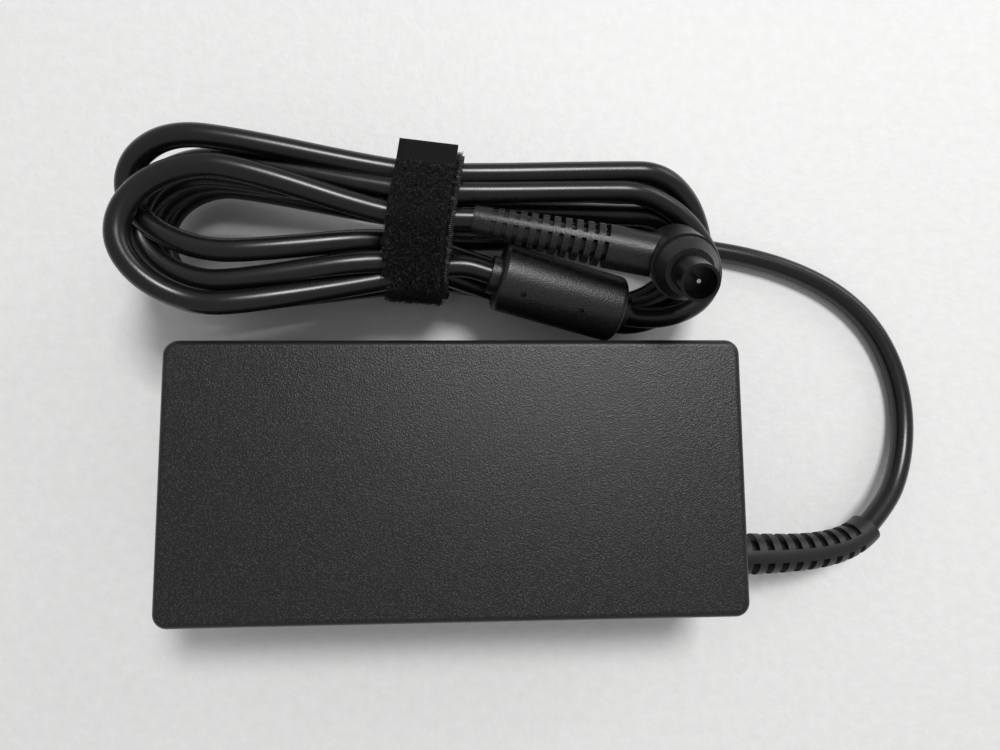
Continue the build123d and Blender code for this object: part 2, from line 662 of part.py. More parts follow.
lead_radii = [corner_radius(*LEAD_ROUTE[n : n + 3]) for n in range(len(LEAD_ROUTE) - 2)]
with BuildPart() as dc_lead:
    with BuildLine() as lead_path:
        FilletPolyline(*LEAD_ROUTE, radius=lead_radii)
    with BuildSketch(Plane(origin=lead_path.line @ 0, z_dir=lead_path.line % 0)):
        Circle(CORD_DIAMETER / 2)
    sweep()
save(dc_lead.part, "dc_lead")
lead_length = sum(edge.length for edge in lead_path.edges())
lead_volume = pi * CORD_DIAMETER**2 / 4 * lead_length
print("lead radii", [round(radius, 1) for radius in lead_radii])
print("lead length", round(lead_length, 1))
print("lead volume over section times length", round(dc_lead.part.volume / lead_volume, 4))


# Hank: the outer shape of the tied loops, with room left for the plug and the ferrite on it
def turned(heading_degrees, tilt_degrees=0.0):
    """A heading in plan, dropped by a tilt."""
    return Vector(1, 0, 0).rotate(Axis.Y, tilt_degrees).rotate(Axis.Z, heading_degrees)


def trench(start, heading, length, diameter):
    """A round-bottomed trench that is open upwards."""
    plane = Plane(origin=start, x_dir=Vector(0, 0, 1).cross(heading), z_dir=heading)
    with BuildPart() as solid:
        with BuildSketch(plane):
            Circle(diameter / 2)
            with Locations((0, CASE_HEIGHT)):
                Rectangle(diameter, 2 * CASE_HEIGHT)
        extrude(amount=length)
    return solid.part


waist_height = WAIST_HEIGHT / 2 + SOFT_GAP + TIE_THICKNESS
waist_heading = turned(TIE_TURN)
waist_middle = Vector(TIE_X, HANK_Y + SOFT_GAP, waist_height)
waist_reach = TIE_WIDTH / 2 + 2 * SOFT_GAP


def waist_plane(along):
    return Plane(
        origin=waist_middle + waist_heading * along,
        x_dir=Vector(0, 0, 1).cross(waist_heading),
        z_dir=waist_heading,
    )


ferrite_heading = turned(FERRITE_TURN, FERRITE_DROP)
ferrite_middle = Vector(FERRITE_CENTRE[0], HANK_Y + FERRITE_CENTRE[1], FERRITE_CENTRE[2])
ferrite_start = ferrite_middle - ferrite_heading * (FERRITE_LENGTH / 2)
plug_heading = turned(PLUG_TURN)
plug_corner = Vector(PLUG_CORNER[0], HANK_Y + PLUG_CORNER[1], PLUG_CORNER[2])
plug_start = plug_corner - plug_heading * PLUG_LENGTH
head_heading = Vector(0, 0, 1).rotate(Axis((0, 0, 0), plug_heading), PLUG_LEAN)
head_foot = plug_corner - head_heading * PLUG_HEAD_BELOW
head_plane = Plane(origin=head_foot, x_dir=plug_heading, z_dir=head_heading)

with BuildPart() as cord_hank:
    with BuildSketch(waist_plane(-waist_reach)):
        Ellipse(WAIST_WIDTH / 2, WAIST_HEIGHT / 2)
    extrude(amount=2 * waist_reach)
    for loops, along in ((LEFT_LOOPS, -waist_reach), (RIGHT_LOOPS, waist_reach)):
        with BuildSketch(waist_plane(along)):
            Ellipse(WAIST_WIDTH / 2, WAIST_HEIGHT / 2)
        for x, shift, half_width, half_height in loops:
            with BuildSketch(Plane.YZ.offset(x)):
                with Locations((HANK_Y + shift, half_height + SOFT_GAP)):
                    Ellipse(half_width, half_height)
        loft()
    gap_diameter = 2 * SOFT_GAP
    plug_room = plug_start - plug_heading * SOFT_GAP
    ferrite_room = ferrite_start - ferrite_heading * (FERRITE_COLLAR_LENGTH + SOFT_GAP)
    ferrite_room_length = FERRITE_LENGTH + 2 * FERRITE_COLLAR_LENGTH + 4 * FERRITE_EDGE
    head_room = plug_corner - head_heading * (PLUG_HEAD_BELOW + SOFT_GAP)
    add(trench(plug_room, plug_heading, PLUG_LENGTH, PLUG_BODY_DIAMETER + gap_diameter), mode=Mode.SUBTRACT)
    add(
        trench(ferrite_room, ferrite_heading, ferrite_room_length, FERRITE_DIAMETER + gap_diameter),
        mode=Mode.SUBTRACT,
    )
    with BuildSketch(Plane(origin=head_room, x_dir=plug_heading, z_dir=head_heading)):
        Circle(PLUG_HEAD_DIAMETER / 2 + SOFT_GAP)
    extrude(amount=CASE_HEIGHT, mode=Mode.SUBTRACT)
    add(dc_lead.part, mode=Mode.SUBTRACT)
save(cord_hank.part, "cord_hank")

# Tie: a band round the waist, with a tail lying off its top
band_width = WAIST_WIDTH / 2 + SOFT_GAP
band_height = WAIST_HEIGHT / 2 + SOFT_GAP
with BuildPart() as cable_tie:
    with BuildSketch(waist_plane(-TIE_WIDTH / 2)):
        Ellipse(band_width + TIE_THICKNESS, band_height + TIE_THICKNESS)
        Ellipse(band_width, band_height, mode=Mode.SUBTRACT)
        tail_place = (TIE_TAIL_SIDE, band_height + TIE_TAIL_THICKNESS / 4, 0)
        with Locations(Location(tail_place, (0, 0, -TIE_TAIL_TILT))):
            Rectangle(TIE_TAIL_LENGTH, TIE_TAIL_THICKNESS)
    extrude(amount=TIE_WIDTH)
save(cable_tie.part, "cable_tie")

# Ferrite: a core ring closed inside a moulded barrel, the cord running through both
ferrite_side = Vector(0, 0, 1).cross(ferrite_heading)
ferrite_plane = Plane(origin=ferrite_start, x_dir=ferrite_side, z_dir=ferrite_heading)
core_outer = FERRITE_DIAMETER - 2 * FERRITE_WALL
core_inner = CORD_DIAMETER + 2 * FERRITE_SLEEVE_WALL
core_length = FERRITE_LENGTH - 2 * FERRITE_END_WALL
with BuildPart() as ferrite_core:
    with BuildSketch(ferrite_plane.offset(FERRITE_END_WALL)):
        Circle(core_outer / 2)
        Circle(core_inner / 2, mode=Mode.SUBTRACT)
    extrude(amount=core_length)
save(ferrite_core.part, "ferrite_core")

with BuildPart() as ferrite_housing:
    with BuildSketch(ferrite_plane):
        Circle(FERRITE_DIAMETER / 2)
    extrude(amount=FERRITE_LENGTH)
    fillet(ferrite_housing.edges().filter_by(GeomType.CIRCLE), FERRITE_EDGE)
    with BuildSketch(ferrite_plane.offset(-FERRITE_COLLAR_LENGTH)):
        Circle(CORD_DIAMETER / 2 + FERRITE_COLLAR_WALL)
    extrude(amount=FERRITE_LENGTH + 2 * FERRITE_COLLAR_LENGTH)
    hole_out = ferrite_plane.y_dir.rotate(Axis((0, 0, 0), ferrite_plane.z_dir), FERRITE_HOLE_TURN)
    for along in FERRITE_HOLE_PLACES:
        axis_point = ferrite_plane.offset(along).location.position
        face = Plane(origin=axis_point + hole_out * (FERRITE_DIAMETER / 2), z_dir=hole_out)
        with BuildSketch(face):
            Circle(FERRITE_HOLE_DIAMETER / 2)
        extrude(amount=-FERRITE_HOLE_DEPTH, mode=Mode.SUBTRACT)
    add(ferrite_core.part, mode=Mode.SUBTRACT)
save(ferrite_housing.part, "ferrite_housing")

# Plug: a slotted boot and a body that turns square into the head, the barrel standing out of it
plug_tip = CORD_DIAMETER + 2 * PLUG_TIP_WALL
plug_core = CORD_DIAMETER + 2 * PLUG_CORE_WALL
slot_pitch = (PLUG_BOOT_LENGTH - PLUG_SLOTLESS) / PLUG_SLOT_COUNT
with BuildLine() as plug_path:
    Line(plug_start + plug_heading * PLUG_BOOT_LENGTH, plug_start)
head_top = PLUG_HEAD_BELOW + PLUG_HEAD_ABOVE
cap_low = head_top + PLUG_GROOVE_WIDTH
cap_top = cap_low + PLUG_CAP_HEIGHT
cap_radius = PLUG_HEAD_DIAMETER / 2 - PLUG_GROOVE_DEPTH
barrel_face = cap_top + PLUG_SHOULDER_HEIGHT

with BuildPart() as plug_housing:
    add(
        slotted_sleeve(
            plug_path.line,
            PLUG_BODY_DIAMETER,
            plug_tip,
            plug_core,
            PLUG_SLOT,
            PLUG_SPINE,
            [slot_pitch * n / PLUG_BOOT_LENGTH for n in range(PLUG_SLOT_COUNT)],
        )
    )
    with BuildSketch(Plane(origin=plug_path.line @ 0, z_dir=plug_heading)):
        Circle(PLUG_BODY_DIAMETER / 2)
    extrude(amount=PLUG_LENGTH - PLUG_BOOT_LENGTH)
    with BuildSketch(head_plane):
        Circle(PLUG_HEAD_DIAMETER / 2)
    extrude(amount=head_top)
    fillet(plug_housing.edges().filter_by(GeomType.CIRCLE).sort_by(Axis.Z)[:1], PLUG_EDGE)
    with BuildSketch(head_plane.offset(head_top)):
        Circle(cap_radius - PLUG_GROOVE_DEPTH)
    extrude(amount=PLUG_GROOVE_WIDTH)
    with BuildSketch(head_plane.offset(cap_low)):
        Circle(cap_radius)
    extrude(amount=PLUG_CAP_HEIGHT)
    with BuildSketch(head_plane.offset(cap_top)):
        Circle(cap_radius)
    with BuildSketch(head_plane.offset(barrel_face)):
        Circle(PLUG_SHOULDER_DIAMETER / 2)
    loft()
    with BuildSketch(head_plane.offset(barrel_face)):
        Circle(BARREL_ROOT_DIAMETER / 2)
    extrude(amount=-BARREL_ROOT, mode=Mode.SUBTRACT)
save(plug_housing.part, "plug_housing")

barrel_length = BARREL_LENGTH + BARREL_ROOT
with BuildPart() as plug_barrel:
    with BuildSketch(head_plane.offset(barrel_face - BARREL_ROOT)):
        Circle(BARREL_ROOT_DIAMETER / 2)
        Circle(BARREL_DIAMETER / 2 - BARREL_WALL, mode=Mode.SUBTRACT)
    extrude(amount=BARREL_ROOT)
    with BuildSketch(head_plane.offset(barrel_face)):
        Circle(BARREL_DIAMETER / 2)
        Circle(BARREL_DIAMETER / 2 - BARREL_WALL, mode=Mode.SUBTRACT)
    extrude(amount=BARREL_LENGTH)
save(plug_barrel.part, "plug_barrel")

with BuildPart() as plug_insulator:
    with BuildSketch(head_plane.offset(barrel_face - BARREL_ROOT)):
        Circle(BARREL_DIAMETER / 2 - BARREL_WALL)
        Circle(CENTRE_PIN_DIAMETER / 2, mode=Mode.SUBTRACT)
    extrude(amount=barrel_length - INSULATOR_DEPTH)
save(plug_insulator.part, "plug_insulator")

with BuildPart() as centre_pin:
    with BuildSketch(head_plane.offset(barrel_face - BARREL_ROOT)):
        Circle(CENTRE_PIN_DIAMETER / 2)
    extrude(amount=barrel_length - CENTRE_PIN_RECESS)
save(centre_pin.part, "centre_pin")
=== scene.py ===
"""The looks of a laptop power adapter: grained case, tied output cord, ferrite and barrel plug."""

import json
import math

import bmesh
import bpy
from mathutils import Matrix, Vector


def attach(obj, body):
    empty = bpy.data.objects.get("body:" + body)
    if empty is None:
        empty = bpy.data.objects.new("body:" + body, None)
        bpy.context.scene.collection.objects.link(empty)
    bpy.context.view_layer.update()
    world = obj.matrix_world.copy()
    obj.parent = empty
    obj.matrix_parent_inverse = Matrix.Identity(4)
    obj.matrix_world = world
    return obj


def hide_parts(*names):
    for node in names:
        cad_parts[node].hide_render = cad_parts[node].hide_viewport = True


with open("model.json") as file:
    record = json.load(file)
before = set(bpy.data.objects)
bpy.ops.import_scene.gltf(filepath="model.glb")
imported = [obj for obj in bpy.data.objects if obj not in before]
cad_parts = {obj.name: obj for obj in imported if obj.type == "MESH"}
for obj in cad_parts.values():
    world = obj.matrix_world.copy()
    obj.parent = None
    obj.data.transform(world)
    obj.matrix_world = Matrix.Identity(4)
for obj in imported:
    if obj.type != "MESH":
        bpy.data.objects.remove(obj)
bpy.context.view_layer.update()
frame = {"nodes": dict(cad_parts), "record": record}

MM = 0.001
UP = Vector((0, 0, 1))

# Cord
CORD_DIAMETER = 4.8 * MM
CORD_ROUND_STEPS = 6
CORD_RUN_STEPS = 9
# The lead from the boot's tip to the hank, in metres
LEAD_ROUTE = [
    (0.0956, -0.0136, 0.0090),
    (0.1022, -0.0084, 0.0070),
    (0.1071, -0.0014, 0.0049),
    (0.1102, 0.0074, 0.0033),
    (0.1109, 0.0174, 0.0025),
    (0.1086, 0.0278, 0.0024),
    (0.1032, 0.0374, 0.0024),
    (0.0949, 0.0448, 0.0024),
    (0.0846, 0.0500, 0.0024),
    (0.0735, 0.0533, 0.0024),
    (0.0625, 0.0552, 0.0024),
    (0.0522, 0.0561, 0.0024),
]
# Through the ferrite, and into the tip of the plug's boot, in metres
FERRITE_ROUTE = [(0.0365, 0.0368, 0.0159), (0.0225, 0.0403, 0.0178), (0.0090, 0.0437, 0.0197)]
PLUG_BOOT_TIP = (0.0038, 0.05395, 0.0274)

# Hank. Each pass through the tie: y and z at its left side, then y and z at its right side, in mm
TIE_LEFT = -12.5
TIE_RIGHT = 0.0
LEFTWARD_PASSES = [
    (55.2, 7.2, 56.0, 6.6),
    (48.8, 8.0, 50.8, 7.0),
    (44.0, 11.0, 45.6, 7.4),
    (51.8, 22.4, 50.4, 10.6),
    (46.8, 25.2, 44.0, 13.6),
    (43.0, 20.6, 46.4, 20.8),
]
RIGHTWARD_PASSES = [
    (60.4, 7.8, 61.0, 7.2),
    (63.4, 10.6, 63.6, 9.0),
    (60.0, 17.5, 60.0, 17.0),
    (64.1, 27.0, 63.8, 26.6),
    (59.8, 27.8, 59.4, 27.6),
    (53.7, 28.4, 54.0, 27.6),
]
# Each loop: its end's x, back y, front y, roundness, heights of its back, end and front, slant, in mm
LEFT_LOOPS = [
    (-70.6, 69.6, 42.6, 15.0, 4.0, 5.0, 3.0, 0.0),
    (-71.0, 68.6, 40.4, 15.5, 11.0, 11.0, 8.4, 0.0),
    (-70.0, 66.4, 37.4, 15.5, 20.0, 20.0, 17.5, 0.0),
    (-66.5, 68.5, 46.0, 17.5, 35.0, 30.0, 29.5, 3.0),
    (-65.5, 65.5, 40.0, 16.5, 30.0, 28.5, 28.0, 0.5),
    (-66.0, 62.0, 35.0, 18.0, 36.0, 35.0, 29.5, 0.0),
]
RIGHT_LOOPS = [
    (53.0, 62.6, 40.6, 15.0, 4.4, 7.4, 3.6, 0.0),
    (56.0, 66.4, 36.6, 15.5, 10.0, 11.0, 5.0, 0.0),
    (53.6, 58.2, 38.6, 13.0, 20.0, 14.0, 9.0, 0.0),
    (57.5, 66.5, 34.5, 17.5, 25.0, 14.0, 7.5, 0.0),
    (58.0, 61.5, 35.0, 18.0, 26.0, 17.5, 14.0, -4.5),
]
LOOP_POINTS = 8
# How far to each side of its end a loop's rounding goes
LOOP_REACH = math.radians(105)

# Hook-and-loop tie: a band round the middle of the hank
TIE_WIDTH = 12.0 * MM
TIE_CENTRE = Vector((-7.3, 53.5, 0.0)) * MM
TIE_TURN = math.radians(-9.5)
TIE_THICKNESS = 0.8 * MM
# Gap between the cord and the inner layer
TIE_SLACK = 0.7 * MM
# Share of the passes' own slope that the band takes up from edge to edge
TIE_FOLLOW = 0.4
# How softly the band goes over from one pass to the next
TIE_EASE = 0.9 * MM
# Degrees round the hank, from the band's inner start down to where its flap leaves
TIE_START = 640
TIE_LEAVE = 74
TIE_STEP = 3
TIE_ACROSS = 9
# The layers lie this far to the right at the start, and as far to the left after the sweep in degrees
LAYER_SHIFT = 0.75 * MM
LAYER_SHIFT_SWEEP = 470
# Free end: its length, its slope upwards and its bend
FLAP_LENGTH = 5.9 * MM
FLAP_STEPS = 10
FLAP_RISE = 0.28
FLAP_CURL = 0.06

# Loop pile: it starts half a turn in and ends on the first stretch of the flap
PILE_START = TIE_START - 180
PILE_ON_FLAP = 0.3
PILE_SPREAD = 1.02
PILE_DENSITY = 5.6e6
PILE_SEED = 11
FIBRE_SPAN = 0.3 * MM
FIBRE_HEIGHT = 2.1 * MM
FIBRE_RADIUS = 0.038 * MM
FIBRE_STEPS = 5
FIBRE_SIDES = 3
# Most that a fibre leans over and turns, in radians, and the range of its scale
FIBRE_LEAN = 0.75
FIBRE_TURN = 3.14
FIBRE_SCALE = (0.55, 1.25)
FIBRE_SCALE_SEED = 7

# Ribbed edge: the degrees round the hank between which its threads lie
RIBS_START = 535
RIBS_END = 380
RIB_PITCH = 0.42 * MM
RIB_LENGTH = 1.5 * MM
RIB_RADIUS = 0.16 * MM
RIB_SIDES = 6

# Camera: lens in mm, place in metres, turn in degrees
CAMERA_SENSOR = 36.0
CAMERA_LENS = 23.4
CAMERA_PLACE = (0.00213, 0.00817, 0.16055)
CAMERA_TURN = (5.527, -2.825, -0.47)
CAMERA_NEAR = 0.005
CAMERA_FAR = 20.0

# Floor and light. Each lamp: name, place, size and power
FLOOR_REACH = 3.0
SKY_STRENGTH = 0.38
LAMP_TARGET = (0.0, 0.03, 0.0)
LAMPS = [
    ("window", (0.2, 0.42, 0.92), (0.3, 0.24), 6.6),
    ("side", (0.8, 0.6, 0.45), (0.5, 0.4), 1.5),
]


# ---------------------------------------------------------------- helpers
def link(thing):
    bpy.context.scene.collection.objects.link(thing)
    return thing


def mesh_piece(name, vertices, faces, material, smooth=True):
    """A mesh object with its place in its vertices."""
    mesh = bpy.data.meshes.new(name)
    mesh.from_pydata([tuple(v) for v in vertices], [], faces)
    bm = bmesh.new()
    bm.from_mesh(mesh)
    bmesh.ops.remove_doubles(bm, verts=bm.verts, dist=1e-7)
    bmesh.ops.recalc_face_normals(bm, faces=bm.faces)
    bm.to_mesh(mesh)
    bm.free()
    mesh.materials.append(material)
    for polygon in mesh.polygons:
        polygon.use_smooth = smooth
    return link(bpy.data.objects.new(name, mesh))


def rides(piece, slot, *replaced):
    """Fixes a piece to the root body and hides the CAD nodes that it stands in for. Its slot is not used.
    """
    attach(piece, "root")
    if replaced:
        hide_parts(*replaced)
    return piece


# ---------------------------------------------------------------- materials
class Finish:
    """A material's node tree, with its shader and the object's own coordinates ready."""

    def __init__(self, name, colour, roughness, metallic=0.0, specular=0.5):
        self.material = bpy.data.materials.new(name)
        self.material.use_nodes = True
        self.tree = self.material.node_tree
        self.shader = self.tree.nodes["Principled BSDF"]
        self.shader.inputs["Base Color"].default_value = (*colour, 1)
        self.shader.inputs["Roughness"].default_value = roughness
        self.shader.inputs["Metallic"].default_value = metallic
        self.shader.inputs["Specular IOR Level"].default_value = specular
        self.place = self.node("ShaderNodeTexCoord").outputs["Object"]

    def node(self, kind, settings=(), **inputs):
        made = self.tree.nodes.new(kind)
        for key, value in dict(settings).items():
            setattr(made, key, value)
        for key, value in inputs.items():
            self.feed(made.inputs[key.replace("_", " ")], value)
        return made

    def feed(self, socket, value):
        if isinstance(value, bpy.types.NodeSocket):
            self.tree.links.new(value, socket)
        else:
            socket.default_value = value

    def stretch(self, scale):
        """Object coordinates, scaled apart along each axis."""
        return self.node("ShaderNodeMapping", Vector=self.place, Scale=scale).outputs["Vector"]

    def noise(self, size, detail=3.0, place=None, roughness=0.5):
        """A cloud of the given grain size in metres, from 0 to 1."""
        made = self.node(
            "ShaderNodeTexNoise",
            Vector=place or self.place,
            Scale=1 / size,
            Detail=detail,
            Roughness=roughness,
        )
        return made.outputs["Fac"]

    def cells(self, size, place=None):
        """Distance to the nearest of scattered points, size apart."""
        made = self.node("ShaderNodeTexVoronoi", Vector=place or self.place, Scale=1 / size)
        return made.outputs["Distance"]

    def bands(self, pitch, axis, distortion=0.0):
        """Waves across one axis, a pitch apart."""
        made = self.node(
            "ShaderNodeTexWave",
            {"wave_type": "BANDS", "bands_direction": axis, "wave_profile": "SIN"},
            Vector=self.place,
            Scale=math.pi / 10 / pitch,
            Distortion=distortion,
        )
        return made.outputs["Fac"]

    def span(self, value, low, high, to_low=0.0, to_high=1.0):
        """A value moved from one range to another, and held inside it."""
        made = self.node("ShaderNodeMapRange", {"clamp": True})
        self.feed(made.inputs["Value"], value)
        self.feed(made.inputs["From Min"], low)
        self.feed(made.inputs["From Max"], high)
        self.feed(made.inputs["To Min"], to_low)
        self.feed(made.inputs["To Max"], to_high)
        return made.outputs["Result"]

    def maths(self, operation, first, second=0.0):
        made = self.node("ShaderNodeMath", {"operation": operation})
        self.feed(made.inputs[0], first)
        self.feed(made.inputs[1], second)
        return made.outputs["Value"]

    def blend(self, share, first, second):
        """A colour between two, by share."""
        made = self.node("ShaderNodeMix", {"data_type": "RGBA"})
        self.feed(made.inputs["Factor"], share)
        for socket, colour in ((made.inputs[6], first), (made.inputs[7], second)):
            self.feed(socket, (*colour, 1) if isinstance(colour, tuple) else colour)
        return made.outputs[2]

    def colour(self, share, first, second):
        self.feed(self.shader.inputs["Base Color"], self.blend(share, first, second))

    def roughness(self, value, low, high):
        self.feed(self.shader.inputs["Roughness"], self.span(value, 0, 1, low, high))

    def bump(self, height, depth, strength=1.0):
        """Relief of a depth in metres, on top of what the shader already has."""
        made = self.node("ShaderNodeBump", Strength=strength, Distance=depth, Height=height)
        before = self.shader.inputs["Normal"]
        if before.is_linked:
            self.feed(made.inputs["Normal"], before.links[0].from_socket)
        self.feed(before, made.outputs["Normal"])


def darker(colour, share):
    return tuple(c * share for c in colour)


def case_finish():
    """Spark-eroded black plastic: fine pits with pale points painted on them as sparkle highlights,
    smoother on its rounded edges.
    """
    finish = Finish("case_plastic", (0.006, 0.006, 0.0065), 0.42, specular=0.5)
    grain = finish.noise(0.3 * MM, 2.0)
    fine = finish.noise(0.16 * MM, 1.0)
    patch = finish.noise(9 * MM, 3.0)
    normal = finish.node("ShaderNodeNewGeometry").outputs["Normal"]
    parts = finish.node("ShaderNodeSeparateXYZ", Vector=normal).outputs
    flat = finish.maths("ABSOLUTE", parts["Z"])
    for axis in ("X", "Y"):
        flat = finish.maths("MAXIMUM", flat, finish.maths("ABSOLUTE", parts[axis]))
    flat = finish.span(flat, 0.9, 0.995)
    # Painted sparkle highlights: pale points on the peaks of the grain, on flat faces only.
    painted_sparkle = finish.maths("MULTIPLY", finish.span(grain, 0.5, 0.7), flat)
    base = finish.blend(patch, (0.0035, 0.0035, 0.0038), (0.0055, 0.0055, 0.006))
    # A dark ground in tone patches, with the painted sparkle highlights in a pale colour.
    finish.colour(painted_sparkle, base, (0.036, 0.0365, 0.038))
    finish.roughness(patch, 0.34, 0.39)
    finish.bump(finish.maths("MULTIPLY", grain, flat), 0.1 * MM, 1.0)
    finish.bump(finish.maths("MULTIPLY", fine, flat), 0.02 * MM, 0.6)
    return finish.material


def cord_finish():
    """Satin extruded jacket, faintly mottled, with a fine grainy relief."""
    finish = Finish("cord_pvc", (0.018, 0.018, 0.019), 0.36, specular=0.5)
    mottle = finish.noise(14 * MM, 4.0)
    dust = finish.noise(0.5 * MM, 2.0)
    finish.colour(mottle, (0.0035, 0.0035, 0.0038), (0.007, 0.007, 0.0076))
    finish.roughness(finish.noise(5 * MM, 3.0), 0.22, 0.33)
    finish.bump(dust, 0.012 * MM, 0.6)
    finish.bump(mottle, 0.10 * MM, 0.35)
    return finish.material


def moulded_finish(name, colour, roughness, grain, depth, pit_tone_and_sparkle=1.6):
    """Moulded plastic or rubber with an even grain and a soft cloudiness. Its pits are painted paler, a
    little for most mouldings and, as painted sparkle highlights, many times paler for the black one.
    """
    finish = Finish(name, colour, roughness)
    pits = finish.noise(grain, 3.0)
    cloud = finish.noise(grain * 28, 3.0)
    base = finish.blend(cloud, darker(colour, 0.8), darker(colour, 1.2))
    # Pale pits: a paler tone of the grain, and a painted sparkle highlight where they are made many times
    # paler.
    finish.colour(finish.span(pits, 0.55, 0.75), base, darker(colour, pit_tone_and_sparkle))
    finish.roughness(cloud, roughness - 0.06, roughness + 0.08)
    finish.bump(pits, depth, 0.8)
    return finish.material


def metal_finish(name, colour, roughness, grain, stretch=(1, 1, 1)):
    """Metal with fine drawn lines and a slight dulling in patches."""
    finish = Finish(name, colour, roughness, metallic=1.0)
    lines = finish.noise(grain, 4.0, finish.stretch(stretch))
    patch = finish.noise(4 * MM, 3.0)
    finish.colour(patch, darker(colour, 0.82), colour)
    finish.roughness(lines, roughness - 0.08, roughness + 0.12)
    finish.bump(lines, 0.01 * MM, 0.7)
    return finish.material


def banded_finish(name, colour, roughness, pitch, axis, depth, metallic=0.0):
    """Turns of wire or tape lying side by side."""
    finish = Finish(name, colour, roughness, metallic=metallic)
    turns = finish.bands(pitch, axis, 0.4)
    finish.colour(turns, darker(colour, 0.55), colour)
    finish.roughness(finish.noise(2 * MM), roughness - 0.08, roughness + 0.08)
    finish.bump(turns, depth, 0.9)
    return finish.material


def board_finish():
    """Green solder mask over tracks, with the glass weave just showing."""
    finish = Finish("board_laminate", (0.02, 0.12, 0.05), 0.35)
    tracks = finish.node(
        "ShaderNodeTexBrick",
        Vector=finish.place,
        Scale=1 / (9 * MM),
        Mortar_Size=0.09,
        Color1=(0, 0, 0, 1),
        Color2=(0.25, 0.25, 0.25, 1),
        Mortar=(1, 1, 1, 1),
    ).outputs["Fac"]
    weave = finish.maths("MULTIPLY", finish.bands(0.5 * MM, "X"), finish.bands(0.5 * MM, "Y"))
    finish.colour(tracks, (0.012, 0.085, 0.035), (0.03, 0.16, 0.07))
    finish.roughness(weave, 0.3, 0.42)
    finish.bump(tracks, 0.03 * MM, 0.8)
    finish.bump(weave, 0.01 * MM, 0.5)
    return finish.material


def label_finish():
    """A blank matt film, finely cross-hatched, slightly paler than the case."""
    finish = Finish("label_film", (0.055, 0.056, 0.06), 0.5)
    hatch = finish.maths("MULTIPLY", finish.bands(0.35 * MM, "X"), finish.bands(0.35 * MM, "Y"))
    finish.colour(finish.noise(12 * MM, 3.0), (0.045, 0.046, 0.05), (0.065, 0.066, 0.07))
    finish.roughness(finish.noise(3 * MM), 0.42, 0.56)
    finish.bump(hatch, 0.006 * MM, 0.5)
    return finish.material


def ferrite_finish():
    """Dull sintered ceramic with open pores."""
    finish = Finish("ferrite_ceramic", (0.06, 0.06, 0.064), 0.6)
    pores = finish.cells(0.4 * MM)
    finish.colour(finish.noise(1.2 * MM, 4.0), (0.04, 0.04, 0.043), (0.09, 0.09, 0.095))
    finish.roughness(pores, 0.45, 0.75)
    finish.bump(pores, 0.04 * MM, 0.7)
    return finish.material


def strap_finish(name, colour, thread):
    """Woven nylon ground of the tie, dull and fluffed."""
    finish = Finish(name, colour, 0.9, specular=0.25)
    finish.shader.inputs["Sheen Weight"].default_value = 0.03
    finish.shader.inputs["Sheen Roughness"].default_value = 0.5
    ribs = finish.bands(thread, "X")
    fluff = finish.noise(0.3 * MM, 3.0)
    finish.colour(fluff, darker(colour, 0.5), darker(colour, 1.7))
    finish.roughness(fluff, 0.75, 0.95)
    finish.bump(ribs, 0.05 * MM, 0.6)
    finish.bump(fluff, 0.12 * MM, 0.8)
    return finish.material


def fibre_finish():
    """Fine nylon fibre, black, with pale flecks painted into its colour as highlights."""
    finish = Finish("pile_fibre", (0.011, 0.011, 0.012), 0.42, specular=0.5)
    # Painted highlights: sparse pale flecks in the fibre's colour.
    painted_glint_mask = finish.span(finish.noise(0.6 * MM, 2.0), 0.52, 0.72)
    finish.colour(painted_glint_mask, (0.003, 0.003, 0.0033), (0.12, 0.12, 0.125))
    finish.roughness(finish.noise(0.4 * MM), 0.32, 0.6)
    return finish.material


def floor_finish():
    """A plain pale sheet with a soft sparkle."""
    finish = Finish("floor", (0.82, 0.82, 0.82), 0.5, specular=0.3)
    finish.colour(finish.noise(3 * MM, 5.0), (0.77, 0.77, 0.765), (0.88, 0.88, 0.875))
    finish.roughness(finish.noise(2 * MM), 0.4, 0.6)
    finish.bump(finish.noise(1.6 * MM, 3.0), 0.25 * MM, 0.5)
    return finish.material


